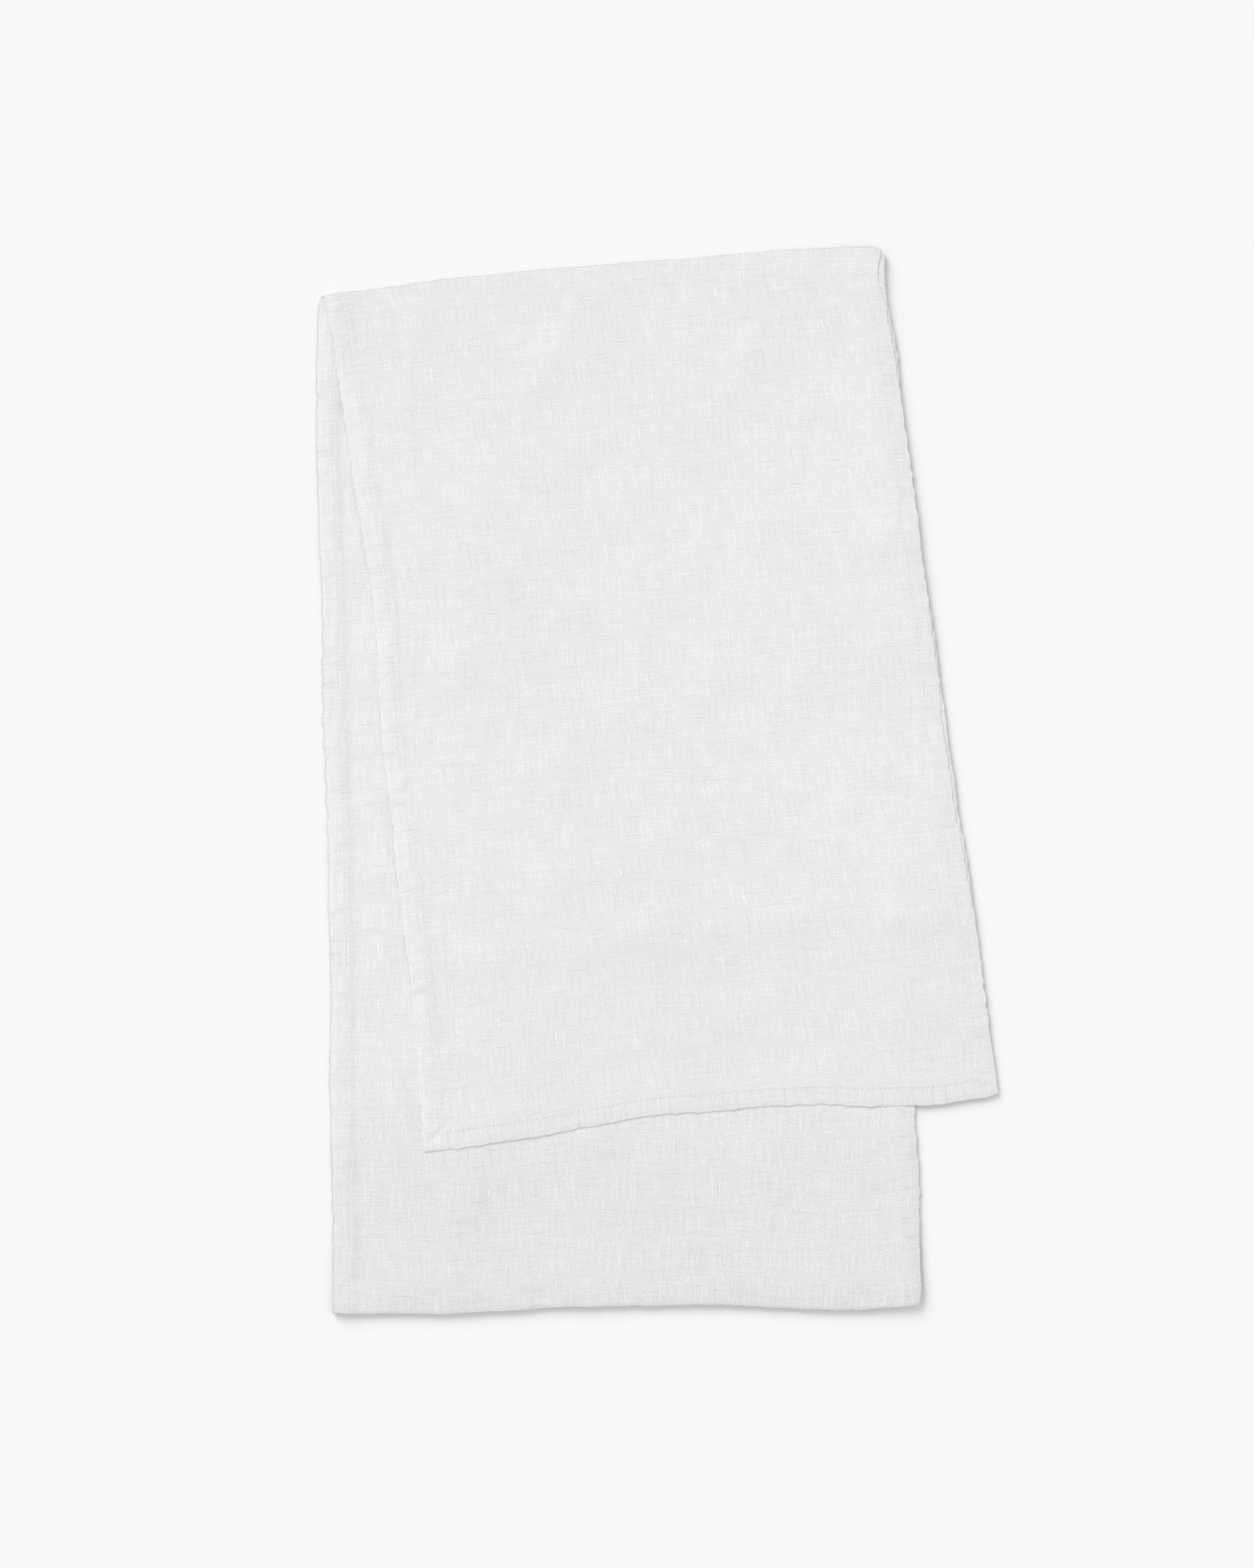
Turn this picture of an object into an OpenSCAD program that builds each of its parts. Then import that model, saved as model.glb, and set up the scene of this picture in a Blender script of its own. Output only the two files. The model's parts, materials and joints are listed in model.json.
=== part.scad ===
// Table runner in washed linen with double-turned hems. It is folded in half across its
// length, and the double layer is folded over again, so four layers lie on each other.
// X runs to the right, Y towards the folded top edge and Z up, in millimetres.
// The origin is the centre of the footprint, on the table.

/* [Cloth] */
// Finished width of the runner
cloth_w = 400; // [350:5:450]
// Finished length of the runner, laid out flat
cloth_l = 2460; // [2300:10:2600]
// Thickness of one ply of the cloth
cloth_t = 0.4; // [0.3:0.05:0.5]

/* [Folding] */
// Length of the lower layers, from the middle fold to the top folds
laid_l = 706; // [660:2:740]
// Length of the outer flap, from the top fold to its end hem
flap_l = 584; // [540:2:620]
// Lean of the lower layers to the left, in degrees
lower_lean = 1.3; // [0:0.1:2]
// Tilt of the top folds against the X axis, in degrees
fold_tilt = 4.35; // [3:0.05:6]
// Tilt of the flaps' end hems against the X axis, in degrees
end_tilt = 5.7; // [4:0.1:8]
// Width of the cloth along the top folds, where it is gathered a little
fold_w = 383; // [370:1:395]
// Width of the cloth along the flaps' end hems
end_w = 392; // [380:1:400]
// Free space between two layers
layer_gap = 0.3; // [0.2:0.05:0.5]

/* [Hems] */
// Width of a finished hem
hem_w = 12.5; // [9:0.5:18]
// Distance from a hem's inner edge to its stitching
stitch_inset = 1.6; // [1:0.1:3]
// Width of the sewing thread
thread_w = 0.4; // [0.3:0.05:0.6]
// Depth to which the thread is drawn into the cloth
thread_depth = 0.15; // [0.1:0.05:0.2]

/* [Hidden] */
$fn = 96;

linen = [0.93, 0.925, 0.915];
hem_linen = [0.95, 0.945, 0.935];
fold_linen = [0.91, 0.905, 0.895];
thread = [0.98, 0.975, 0.96];

// The cloth's face is down on the under layer and the inner flap, and up on the other two.
// Each hem's two turned plies lie on the back of the cloth.
hem_t = 2 * cloth_t;
layer_t = cloth_t + hem_t;
pitch = layer_t + layer_gap;
stack_h = 4 * layer_t + 3 * layer_gap;

// How far a groove's cutter passes the cloth
clear = 1;

// Heights of the four layers' bottoms
under_z = 0;
top_z = pitch;
inner_z = 2 * pitch;
outer_z = 3 * pitch;

// The top folds turn about one axis at half the height, and the middle fold about its own.
top_axis_z = stack_h / 2;
middle_axis_z = (top_z + layer_t) / 2;
outer_fold_r = stack_h / 2;
inner_fold_r = layer_gap / 2 + cloth_t;
middle_fold_r = middle_axis_z;

// The cloth left over for the inner flap
inner_l = cloth_l - 2 * laid_l - flap_l;
// A fold mirrors the cloth's direction about its own.
flap_lean = 2 * fold_tilt - lower_lean;

function along(a) = [cos(a), sin(a)];
function quarter_turn(u) = [-u.y, u.x];
function unit(u) = u / norm(u);
function mix_of(a, b, t) = a + (b - a) * t;

// Four corners of a layer: left and right at its top, then right and left at its end
function corners(top_c, top_a, top_len, end_c, end_a, end_len) =
    [top_c - along(top_a) * top_len / 2, top_c + along(top_a) * top_len / 2,
     end_c + along(end_a) * end_len / 2, end_c - along(end_a) * end_len / 2];

middle_c = [0, 0];
top_c = middle_c + laid_l * quarter_turn(along(lower_lean));
outer_end_c = top_c - flap_l * quarter_turn(along(flap_lean));
inner_end_c = top_c - inner_l * quarter_turn(along(flap_lean));
inner_end_w = mix_of(fold_w, end_w, inner_l / flap_l);

lower_raw = corners(top_c, fold_tilt, fold_w, middle_c, lower_lean, cloth_w);
outer_raw = corners(top_c, fold_tilt, fold_w, outer_end_c, end_tilt, end_w);
inner_raw = corners(top_c, fold_tilt, fold_w, inner_end_c, end_tilt, inner_end_w);

// Footprint with the round folds, and the move that centres it on the origin
top_bulge = outer_fold_r * quarter_turn(along(fold_tilt));
middle_bulge = -middle_fold_r * quarter_turn(along(lower_lean));
footprint = concat(lower_raw, outer_raw, [for (p = [lower_raw[0], lower_raw[1]]) p + top_bulge],
                   [for (p = [lower_raw[2], lower_raw[3]]) p + middle_bulge]);
xs = [for (p = footprint) p.x];
ys = [for (p = footprint) p.y];
centring = -[min(xs) + max(xs), min(ys) + max(ys)] / 2;

lower = [for (p = lower_raw) p + centring];
outer = [for (p = outer_raw) p + centring];
inner = [for (p = inner_raw) p + centring];
top_fold_c = top_c + centring;
middle_fold_c = middle_c + centring;

// Where the line through p along u meets the line through q along v
function meet(p, u, q, v) = p + u * cross(q - p, v) / cross(u, v);

// The corners of a layer with its sides, its end and its top moved in
function inset(c, side, end, top = 0) =
    let (left_u = unit(c[3] - c[0]), right_u = unit(c[2] - c[1]))
    let (end_u = unit(c[2] - c[3]), top_u = unit(c[1] - c[0]))
    let (left_p = c[0] + side * quarter_turn(left_u), right_p = c[1] - side * quarter_turn(right_u))
    let (end_p = c[3] + end * quarter_turn(end_u), top_p = c[0] - top * quarter_turn(top_u))
    [meet(left_p, left_u, top_p, top_u), meet(right_p, right_u, top_p, top_u),
     meet(right_p, right_u, end_p, end_u), meet(left_p, left_u, end_p, end_u)];

// Strips between two nested outlines of a layer
function left_strip(a, b) = [a[0], a[3], b[3], b[0]];
function right_strip(a, b) = [a[1], b[1], b[2], a[2]];
function end_strip(a, b) = [a[3], a[2], b[2], b[3]];

module plate(points, z, h) translate([0, 0, z]) linear_extrude(h) polygon(points);

// Outlines of a layer's hems and of its stitching. A layer that ends in a fold has no end hem.
function hem_inner(c, has_end) = inset(c, hem_w, has_end ? hem_w : 0);
function thread_outer(c, has_end) =
    let (d = hem_w - stitch_inset - thread_w) inset(c, d, has_end ? d : 0);
function thread_inner(c, has_end) =
    let (d = hem_w - stitch_inset) inset(c, d, has_end ? d : 0);

// The thread of one row: the needle thread in the face and the bobbin thread in the back
module thread_pair(points, z) {
    plate(points, z, thread_depth);
    plate(points, z + layer_t - thread_depth, thread_depth);
}

// Grooves for the rows in a layer's panel, cut past the cloth's edges by clear
module panel_grooves(c, z, has_end) {
    outer_d = hem_w - stitch_inset - thread_w;
    inner_d = hem_w - stitch_inset;
    for (dz = [-clear, layer_t - thread_depth])
    translate([0, 0, z + dz]) linear_extrude(thread_depth + clear) difference() {
        polygon(inset(c, outer_d, has_end ? outer_d : -clear, -clear));
        polygon(inset(c, inner_d, has_end ? inner_d : -2 * clear, -2 * clear));
    }
}

// Groove for one row in its hem, cut past both ends of the hem by clear
module hem_grooves(points, z) {
    plate(points, z - clear, thread_depth + clear);
    plate(points, z + layer_t - thread_depth, thread_depth + clear);
}

function long_outer(c) = inset(c, hem_w - stitch_inset - thread_w, -clear, -clear);
function long_inner(c) = inset(c, hem_w - stitch_inset, -clear, -clear);
function wide_outer(c) = inset(c, -clear, hem_w - stitch_inset - thread_w);
function wide_inner(c) = inset(c, -clear, hem_w - stitch_inset);

module panel(c, z, face_up, has_end) color(linen) difference() {
    plate(c, face_up ? z + hem_t : z, cloth_t);
    panel_grooves(c, z, has_end);
}

module hem(points, row, z, face_up) color(hem_linen) difference() {
    plate(points, face_up ? z : z + cloth_t, hem_t);
    hem_grooves(row, z);
}

module left_hem(c, z, face_up, has_end)
    hem(left_strip(c, hem_inner(c, has_end)), left_strip(long_outer(c), long_inner(c)), z, face_up);
module right_hem(c, z, face_up, has_end)
    hem(right_strip(c, hem_inner(c, has_end)), right_strip(long_outer(c), long_inner(c)), z, face_up);
module end_hem(c, z, face_up)
    hem(end_strip(c, hem_inner(c, true)), end_strip(wide_outer(c), wide_inner(c)), z, face_up);

module stitching(points, z) color(thread) thread_pair(points, z);

// Half a tube of cloth round a fold's axis, with the hems' turned plies at both ends,
// outside the cloth where hem_outside is true
module fold(at, z, angle, width, r, hem_outside) {
    hem_len = norm(hem_inner(lower, false)[0] - lower[0]);
    hem_r = hem_outside ? r : r - layer_t;
    color(fold_linen)
    translate([at.x, at.y, z]) rotate([0, 0, angle]) rotate([0, 90, 0])
    rotate_extrude(angle = 180) {
        translate([r - cloth_t, -width / 2]) square([cloth_t, width]);
        translate([hem_r, -width / 2]) square([hem_t, hem_len]);
        translate([hem_r, width / 2 - hem_len]) square([hem_t, hem_len]);
    }
}

module lower_under_panel() panel(lower, under_z, false, false);
module lower_under_left_hem() left_hem(lower, under_z, false, false);
module lower_under_right_hem() right_hem(lower, under_z, false, false);
module lower_under_left_stitching()
    stitching(left_strip(thread_outer(lower, false), thread_inner(lower, false)), under_z);
module lower_under_right_stitching()
    stitching(right_strip(thread_outer(lower, false), thread_inner(lower, false)), under_z);

module lower_top_panel() panel(lower, top_z, true, false);
module lower_top_left_hem() left_hem(lower, top_z, true, false);
module lower_top_right_hem() right_hem(lower, top_z, true, false);
module lower_top_left_stitching()
    stitching(left_strip(thread_outer(lower, false), thread_inner(lower, false)), top_z);
module lower_top_right_stitching()
    stitching(right_strip(thread_outer(lower, false), thread_inner(lower, false)), top_z);

module inner_flap_panel() panel(inner, inner_z, false, true);
module inner_flap_left_hem() left_hem(inner, inner_z, false, true);
module inner_flap_right_hem() right_hem(inner, inner_z, false, true);
module inner_flap_end_hem() end_hem(inner, inner_z, false);
module inner_flap_left_stitching()
    stitching(left_strip(thread_outer(inner, true), thread_inner(inner, true)), inner_z);
module inner_flap_right_stitching()
    stitching(right_strip(thread_outer(inner, true), thread_inner(inner, true)), inner_z);
module inner_flap_end_stitching()
    stitching(end_strip(thread_outer(inner, true), thread_inner(inner, true)), inner_z);

module outer_flap_panel() panel(outer, outer_z, true, true);
module outer_flap_left_hem() left_hem(outer, outer_z, true, true);
module outer_flap_right_hem() right_hem(outer, outer_z, true, true);
module outer_flap_end_hem() end_hem(outer, outer_z, true);
module outer_flap_left_stitching()
    stitching(left_strip(thread_outer(outer, true), thread_inner(outer, true)), outer_z);
module outer_flap_right_stitching()
    stitching(right_strip(thread_outer(outer, true), thread_inner(outer, true)), outer_z);
module outer_flap_end_stitching()
    stitching(end_strip(thread_outer(outer, true), thread_inner(outer, true)), outer_z);

module middle_fold()
    fold(middle_fold_c, middle_axis_z, 180 + lower_lean, cloth_w, middle_fold_r, false);
module inner_top_fold()
    fold(top_fold_c, top_axis_z, fold_tilt, fold_w, inner_fold_r, true);
module outer_top_fold()
    fold(top_fold_c, top_axis_z, fold_tilt, fold_w, outer_fold_r, false);

lower_under_panel();
lower_under_left_hem();
lower_under_right_hem();
lower_under_left_stitching();
lower_under_right_stitching();
lower_top_panel();
lower_top_left_hem();
lower_top_right_hem();
lower_top_left_stitching();
lower_top_right_stitching();
inner_flap_panel();
inner_flap_left_hem();
inner_flap_right_hem();
inner_flap_end_hem();
inner_flap_left_stitching();
inner_flap_right_stitching();
inner_flap_end_stitching();
outer_flap_panel();
outer_flap_left_hem();
outer_flap_right_hem();
outer_flap_end_hem();
outer_flap_left_stitching();
outer_flap_right_stitching();
outer_flap_end_stitching();
middle_fold();
inner_top_fold();
outer_top_fold();
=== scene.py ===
"""A long linen table runner, folded in half and folded over again, lying flat. Its four layers
are one cloth with real double-turned hems, modelled as three sheets that meet at the folds.
Lengths are in millimetres while shapes are worked out, and in metres in the meshes."""
import json
import math

import bpy
import numpy as np

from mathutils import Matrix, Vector


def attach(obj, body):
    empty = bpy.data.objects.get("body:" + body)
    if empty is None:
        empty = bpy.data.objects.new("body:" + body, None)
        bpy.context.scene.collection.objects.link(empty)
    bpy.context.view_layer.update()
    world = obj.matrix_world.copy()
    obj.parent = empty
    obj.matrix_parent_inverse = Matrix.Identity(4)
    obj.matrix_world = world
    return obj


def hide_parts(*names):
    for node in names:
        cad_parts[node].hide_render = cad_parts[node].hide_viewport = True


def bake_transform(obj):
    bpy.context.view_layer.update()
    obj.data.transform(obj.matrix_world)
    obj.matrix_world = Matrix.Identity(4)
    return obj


MM = 0.001
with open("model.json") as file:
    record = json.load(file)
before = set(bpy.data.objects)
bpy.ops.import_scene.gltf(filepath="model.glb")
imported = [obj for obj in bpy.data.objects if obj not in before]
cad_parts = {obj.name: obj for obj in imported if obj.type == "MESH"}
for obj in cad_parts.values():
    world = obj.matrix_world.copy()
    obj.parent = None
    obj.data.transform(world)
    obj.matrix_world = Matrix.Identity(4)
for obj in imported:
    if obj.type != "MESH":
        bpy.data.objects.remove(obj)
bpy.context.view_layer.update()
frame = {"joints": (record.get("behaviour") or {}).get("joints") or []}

# ---------------------------------------------------------------- driving sizes

CLOTH_W = 400.0  # finished width
FOLD_W = 383.0  # width along the top folds, where the cloth is gathered a little
END_W = 392.0  # width along the outer flap's end hem
LAID_L = 706.0  # length of the two lower layers
FLAP_L = 584.0  # length of the outer flap
INNER_L = 464.0  # length of the hidden inner flap
LOWER_LEAN = 1.3  # degrees
END_TILT = 5.7  # degrees
HEM_W = 12.5
STITCH_IN = 1.3  # stitching to the hem's inner edge
STITCH_PITCH = 3.0
STITCH_L = 2.3
STITCH_R = 0.2
PLY_T = 0.22  # thickness of one ply
PLY_PITCH = 0.23  # from one ply's middle to the next
RAW_EDGE = 4.0  # from the outer edge to the raw edge inside a hem
EDGE_PRESS = 0.55  # how thick a hem's ironed outer edge is, as a part of its full thickness
PRESS_REACH = 4.0  # how far in the hem is at its full thickness
# widths of the slopes down from the hems that lie under the face
LEFT_FALL, RIGHT_FALL, END_FALL = 6.0, 24.0, 26.0
MITRE_REACH = 40.0  # how far along a hem its plies are shortened for the mitre
CORNER_REACH = 3.0  # how far from a corner a hem's turned edge leans round it
NUDGE = 0.4  # half the distance between the points that give a direction on the cloth

HALF_PLY = PLY_T / 2
TURNED = 2 * PLY_PITCH

fold_joint = next(j for j in frame["joints"] if j["name"] == "outer_flap_fold")
TOP_C = np.array(fold_joint["pos_m"][:2]) / MM
ALONG_FOLD = -np.array(fold_joint["axis"][:2])
FOLD_TILT = math.degrees(math.atan2(ALONG_FOLD[1], ALONG_FOLD[0]))
FLAP_LEAN = 2 * FOLD_TILT - LOWER_LEAN


def heading(degrees):
    return np.array([math.cos(math.radians(degrees)), math.sin(math.radians(degrees))])


def left_of(u):
    return np.array([-u[1], u[0]])


def unit(v):
    return v / np.maximum(np.linalg.norm(v, axis=-1, keepdims=True), 1e-9)


FOLD_OUT = left_of(ALONG_FOLD)
MIDDLE_C = TOP_C - LAID_L * left_of(heading(LOWER_LEAN))
MIDDLE_OUT = -left_of(heading(LOWER_LEAN))

# ---------------------------------------------------------------- outlines


def smooth_curve(points, t):
    """A smooth curve through a few (place, value) points."""
    x, y = np.array(points, float).T
    slope = np.gradient(y, x)
    t = np.clip(t, x[0], x[-1])
    i = np.clip(np.searchsorted(x, t) - 1, 0, len(x) - 2)
    h = x[i + 1] - x[i]
    f = (t - x[i]) / h
    return (
        (1 + 2 * f) * (1 - f) ** 2 * y[i]
        + f * (1 - f) ** 2 * h * slope[i]
        + f**2 * (3 - 2 * f) * y[i + 1]
        + f**2 * (f - 1) * h * slope[i + 1]
    )


def ripple(t, length, seed, waves):
    """Small irregular waves along an edge, none at its two ends."""
    rng = np.random.default_rng(seed)
    out = np.zeros_like(t)
    for wave, height in waves:
        for _ in range(4):
            own = wave * rng.uniform(0.7, 1.4)
            out += height / 2 * np.sin(2 * np.pi * t * length / own + rng.uniform(0, 7))
    return out * np.minimum(1, 12 * t * (1 - t))


class Edge:
    """One side of a layer: a straight line from a to b, bowed outwards by a few amounts."""

    def __init__(self, a, b, outward, bow, seed, waves=((45, 0.22), (14, 0.3), (7, 0.22))):
        self.a, self.b = np.array(a), np.array(b)
        self.length = np.linalg.norm(self.b - self.a)
        self.out = outward * left_of((self.b - self.a) / self.length)
        self.bow, self.seed, self.waves = bow, seed, waves

    def __call__(self, t):
        off = smooth_curve(self.bow, t) + ripple(t, self.length, self.seed, self.waves)
        return self.a + t[..., None] * (self.b - self.a) + off[..., None] * self.out


FOLD_WAVES = ((60, 0.3), (18, 0.15))
TOP_BOW = [(0, -5.0), (0.02, -4.0), (0.1, -2.3), (0.17, -0.4), (0.32, 1.6), (0.47, 2.3),
           (0.7, 2.4), (0.84, 2.8), (0.914, 1.8), (0.96, 0.9), (0.985, -0.1), (1, -4.6)]
TOP_BOW_OUTER = TOP_BOW[:-2] + [(0.99, -0.5), (1, -2.4)]
# Bows of each layer's sides and end, outwards, and how far its corners lie inside the plain
# outline: (top left, top right, end left, end right)
LOWER_LEFT = [(0, 2.3), (0.011, 4.0), (0.03, 4.6), (0.07, 5.2), (0.12, 5.6), (0.24, 4.0),
              (0.32, 2.1), (0.38, 2.6), (0.45, 1.6), (0.53, -0.3), (0.6, -0.2), (0.68, -1.2), (0.75, 0),
              (0.87, -0.4), (0.93, -0.8), (1, 0)]
LOWER_END = [(0, -2.4), (0.02, -1.7), (0.07, -1.1), (0.13, -0.8), (0.2, 0.5), (0.26, -0.6), (0.32, -1.4),
             (0.39, -2.4), (0.53, -2.3), (0.64, -1.9), (0.71, -0.5), (0.77, 1.5), (0.85, 3.3), (0.9, 4.0),
             (0.94, 2.8), (0.975, 1.8), (0.99, 1.2), (1, 0.2)]
LOWER_RIGHT = [(0, 0), (0.05, 0.2), (0.2, 0.4), (0.5, 0.6)]  # the upper part, then each layer's own
SHAPES = {
    "under": {
        "left": LOWER_LEFT,
        "right": LOWER_RIGHT + [(0.8, 1.2), (0.88, 2.8), (0.93, 3.1), (0.965, 3.9),
                                (0.988, 3.6), (1, 1.4)],
        "end": LOWER_END,
        "corners": (-1.0, 0.5, 0.6, 1.6),
    },
    "top": {
        "left": LOWER_LEFT,
        "right": LOWER_RIGHT + [(0.8, 1.4), (0.87, 3.0), (0.91, 3.3), (0.95, 2.4), (0.97, 2.5),
                                (0.988, 2.7), (1, 1.2)],
        "end": LOWER_END,
        "corners": (-1.0, 0.5, 0.6, 1.6),
    },
    "outer": {
        "left": [(0, 0), (0.02, -2.0), (0.05, -3.6), (0.1, -3.3), (0.15, -5.0), (0.2, -5.5),
                 (0.32, -8.6), (0.36, -9.3), (0.44, -7.3), (0.51, -4.4), (0.61, -4.4),
                 (0.71, -3.5), (0.8, -4.1), (0.87, -2.9), (1, 0)],
        "right": [(0, 0), (0.006, -0.4), (0.014, -2.6), (0.035, -4.4), (0.046, -4.0),
                  (0.062, -2.3), (0.083, -1.5),
                  (0.105, -0.7), (0.13, -0.9), (0.16, -0.2), (0.2, -0.3), (0.27, -0.1),
                  (0.33, -0.5), (0.38, -1.0), (0.44, -1.2), (0.5, -1.5), (0.56, -2.9),
                  (0.637, -2.8), (0.676, -2.4), (0.736, -0.8), (0.79, 0.5), (0.85, 0.5),
                  (0.91, 0), (1, 0)],
        "end": [(0, 0.3), (0.07, 0.2), (0.145, -1.2), (0.26, -4.2), (0.36, -7.9), (0.43, -8.6),
                (0.5, -7.4), (0.6, -7.2), (0.67, -5.7), (0.785, -0.1), (0.85, 2.1), (0.95, 1.9),
                (0.985, 0.9), (1, -0.6)],
        "corners": (1.0, 3.0, -1.2, 2.2),
    },
    "inner": {
        "left": [(0, 0), (0.1, -5.7), (0.25, -7.5), (0.45, -9.4), (0.55, -6.6), (0.63, -3.5),
                 (0.76, -2.1), (1, 0)],
        "right": [(0, 0), (0.05, -3.0), (0.077, -2.9), (0.112, -1.4), (0.131, -0.9), (0.168, -1.2),
                  (0.205, -1.6), (0.3, -3.4), (0.45, -3.0), (0.56, -1.4), (0.7, -1.5),
                  (0.78, -1.2), (0.85, -1.0), (0.93, 0.6), (1, 0.3)],
        "end": [(0, 0), (0.3, -2), (0.6, -3), (0.85, -1), (1, 0)],
        "corners": (1.0, 0.5, 9.0, 2.0),
    },
}


def smooth_step(a, b, x):
    t = np.clip((x - a) / (b - a), 0, 1)
    return t * t * (3 - 2 * t)


def pressed(inset):
    """A hem's thickness at a distance in from its outer edge, which is ironed thin."""
    return EDGE_PRESS + (1 - EDGE_PRESS) * smooth_step(0, PRESS_REACH, inset)


class Layer:
    """A flat panel between its top fold (v = 0) and its end (v = 1), with s from 0 at the left
    to 1 at the right. place gives its points in plan, and height is set when it is draped."""

    def __init__(self, shape, end_c, end_tilt, end_w, length, seed, face_up, has_end):
        bows = SHAPES[shape]
        across = heading(end_tilt)
        inside = bows["corners"]
        top = [TOP_C + side * (FOLD_W / 2 - gap) * ALONG_FOLD for side, gap in zip((-1, 1), inside)]
        end = [end_c + side * (end_w / 2 - gap) * across for side, gap in zip((-1, 1), inside[2:])]
        end_waves = FOLD_WAVES if not has_end else ((45, 0.25), (14, 0.25), (7, 0.15))
        top_bow = TOP_BOW_OUTER if shape == "outer" else TOP_BOW
        self.top = Edge(top[0], top[1], 1, top_bow, 11, FOLD_WAVES)
        self.end = Edge(end[0], end[1], -1, bows["end"], seed, end_waves)
        self.left = Edge(top[0], end[0], -1, bows["left"], seed + 1)
        self.right = Edge(top[1], end[1], 1, bows["right"], seed + 2)
        self.length, self.face_up, self.has_end = length, face_up, has_end
        self.height = None
        self.pucker_seed = seed + 3

    def place(self, s, v):
        corner = {}
        for name, edge in (("top", self.top), ("end", self.end)):
            corner[name] = edge(np.array([0.0, 1.0]))
        left, right, top, end = self.left(v), self.right(v), self.top(s), self.end(s)
        left0, left1 = self.left(np.array([0.0, 1.0]))
        right0, right1 = self.right(np.array([0.0, 1.0]))
        s, v = s[..., None], v[..., None]
        base = (1 - s) * left + s * right
        top_fix = top - ((1 - s) * left0 + s * right0)
        end_fix = end - ((1 - s) * left1 + s * right1)
        return base + (1 - v) ** 3 * top_fix + v**3 * end_fix

    def hem_rise(self, s, v):
        """How much the hems lift this layer's upper side, by lying under its face or on its back."""
        insets = [(s * CLOTH_W, LEFT_FALL), ((1 - s) * CLOTH_W, RIGHT_FALL)]
        if self.has_end:
            insets.append(((1 - v) * self.length, END_FALL))
        nearest = np.minimum.reduce([inset for inset, _ in insets])
        if not self.face_up:
            return TURNED * pressed(nearest) * (nearest < HEM_W)
        falls = [smooth_step(HEM_W + fall, HEM_W, inset) for inset, fall in insets]
        return TURNED * pressed(nearest) * np.maximum.reduce(falls)

    def xyz(self, s, v):
        s, v = np.broadcast_arrays(s, v)
        plan = self.place(s, v)
        z = sample(self.height, plan) + pucker(self, s, v)
        if self.face_up:
            z = z + self.hem_rise(s, v)
        return np.concatenate([plan, z[..., None]], -1)


def pucker(layer, s, v):
    """The seam's pull: short slanting ripples between the stitching and the edge."""
    rng = np.random.default_rng(layer.pucker_seed)
    out = np.zeros(np.broadcast(s, v).shape)
    along, across = v * layer.length, s * CLOTH_W
    sides = [(across, along, 0.8), (CLOTH_W - across, along, 0.8)]
    if layer.has_end:
        sides.append(((1 - v) * layer.length, across, 1.6))
    for inset, path, amount in sides:
        band = np.exp(-(((inset - 0.55 * HEM_W) / 5.0) ** 2))
        slanted = path + 0.35 * inset
        wave = sum(
            h * np.sin(2 * np.pi * slanted / w + rng.uniform(0, 7))
            for w, h in ((31, 0.05), (13.7, 0.055), (8.9, 0.05), (6.1, 0.04))
        )
        out += amount * band * wave
    return out


# ---------------------------------------------------------------- draping

CELL = 1.5
LAYER_GAP = 0.03  # least gap between a layer and the stack below it
GRID_X = np.arange(-252, 252, CELL)
GRID_Y = np.arange(-380, 380, CELL)
SHAPE = (len(GRID_Y), len(GRID_X))
FREQUENCIES = np.fft.rfftfreq(SHAPE[1], CELL)[None, :], np.fft.fftfreq(SHAPE[0], CELL)[:, None]


def sample(grid, plan):
    """Bilinear value of a grid at points in plan."""
    fx = np.clip((plan[..., 0] - GRID_X[0]) / CELL, 0, SHAPE[1] - 1.001)
    fy = np.clip((plan[..., 1] - GRID_Y[0]) / CELL, 0, SHAPE[0] - 1.001)
    ix, iy = fx.astype(int), fy.astype(int)
    fx, fy = fx - ix, fy - iy
    low = grid[iy, ix] * (1 - fx) + grid[iy, ix + 1] * fx
    high = grid[iy + 1, ix] * (1 - fx) + grid[iy + 1, ix + 1] * fx
    return low * (1 - fy) + high * fy


def neighbours(grid):
    """Sum of the four neighbours of each cell."""
    pad = np.pad(grid, 1, mode="edge")
    return pad[:-2, 1:-1] + pad[2:, 1:-1] + pad[1:-1, :-2] + pad[1:-1, 2:]


def blurred(grid, passes):
    for _ in range(passes):
        grid = (4 * grid + neighbours(grid)) / 8
    return grid


def soft_noise(seed, size_x, size_y):
    """Smooth random field with unit spread, its lumps about size_x by size_y mm."""
    rng = np.random.default_rng(seed)
    field = np.fft.rfft2(rng.standard_normal(SHAPE))
    kx, ky = FREQUENCIES
    field *= np.exp(-((kx * size_x) ** 2 + (ky * size_y) ** 2) * 2)
    field = np.fft.irfft2(field, SHAPE)
    return (field - field.mean()) / field.std()


def footprint(layer):
    """Where a layer and its hems lie on the grid."""
    # finer than the grid, so that no cell is missed
    s = np.linspace(0, 1, 560)[None, :]
    v = np.linspace(0, 1, 1000)[:, None]
    s, v = np.broadcast_arrays(s, v)
    plan = layer.place(s, v)
    ix = np.round((plan[..., 0] - GRID_X[0]) / CELL).astype(int)
    iy = np.round((plan[..., 1] - GRID_Y[0]) / CELL).astype(int)
    mask, rise = np.zeros(SHAPE, bool), np.zeros(SHAPE)
    mask[iy, ix] = True
    rise[iy, ix] = layer.hem_rise(s, v)
    return mask, rise


def gaussian(grid, reach):
    field = np.fft.rfft2(grid)
    kx, ky = FREQUENCIES
    return np.fft.irfft2(field * np.exp(-2 * (np.pi * reach) ** 2 * (kx**2 + ky**2)), SHAPE)


def spread_out(grid, mask, reach):
    """The grid's values inside the mask, smoothed, and carried on past its border."""
    return gaussian(grid * mask, reach) / np.maximum(gaussian(mask.astype(float), reach), 1e-7)


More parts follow.
